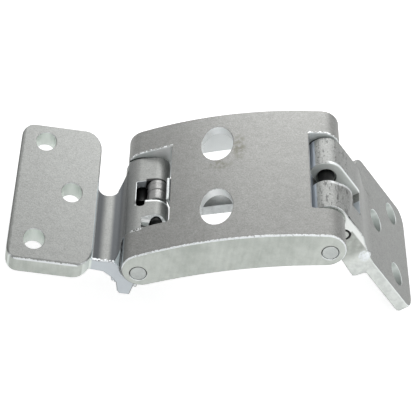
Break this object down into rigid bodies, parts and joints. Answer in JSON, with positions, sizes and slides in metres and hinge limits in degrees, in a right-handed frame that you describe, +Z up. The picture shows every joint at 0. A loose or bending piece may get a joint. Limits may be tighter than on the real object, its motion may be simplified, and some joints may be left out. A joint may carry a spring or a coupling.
{
  "type": "vehicle door hinge",
  "caption": "Rear door hinge for a van: a flat body leaf and an angled door leaf, both with oval bolt holes, joined through long pins by a bowed, hollow centre link.",
  "frame": {"origin": "middle of the body leaf's plate, on its underside, where the hinge sits on the vehicle's body", "axes": "+X from the body leaf towards the door leaf, +Y along both pins away from the viewer, +Z up out of the body leaf's upper face"},
  "size_m": [0.2089, 0.1064, 0.068],
  "materials": {
    "zinc_plate": "satin zinc plating",
    "pin_steel": "ground steel",
    "spring_steel": "rolled spring steel",
    "bush_bronze": "plain bearing bronze"
  },
  "bodies": {
    "body_side": {"body_leaf": "zinc_plate", "body_bush_front": "bush_bronze", "body_bush_rear": "bush_bronze", "roller_pin": "pin_steel"},
    "roller_front": {"roller_front": "pin_steel"},
    "roller_rear": {"roller_rear": "pin_steel"},
    "link": {"center_link": "zinc_plate", "check_spring": "spring_steel", "body_pin": "pin_steel", "door_pin": "pin_steel"},
    "door_side": {"door_leaf": "zinc_plate", "door_bush_front": "bush_bronze", "door_bush_rear": "bush_bronze", "door_stop_pin": "pin_steel"}
  },
  "joints": [
    {"name": "body_hinge", "type": "hinge", "parent": "body_side", "child": "link", "pos_m": [0.044, 0, 0.0052], "axis": [0, -1, 0], "range_deg": [-55, 5]},
    {"name": "door_hinge", "type": "hinge", "parent": "link", "child": "door_side", "pos_m": [0.1335, 0, 0.03393], "axis": [0, -1, 0], "range_deg": [-25, 100]},
    {"name": "front_roller_spin", "type": "hinge", "parent": "body_side", "child": "roller_front", "pos_m": [0.0507, 0, 0.0119], "axis": [0, -1, 0], "continuous": true},
    {"name": "rear_roller_spin", "type": "hinge", "parent": "body_side", "child": "roller_rear", "pos_m": [0.0507, 0, 0.0119], "axis": [0, -1, 0], "continuous": true}
  ]
}
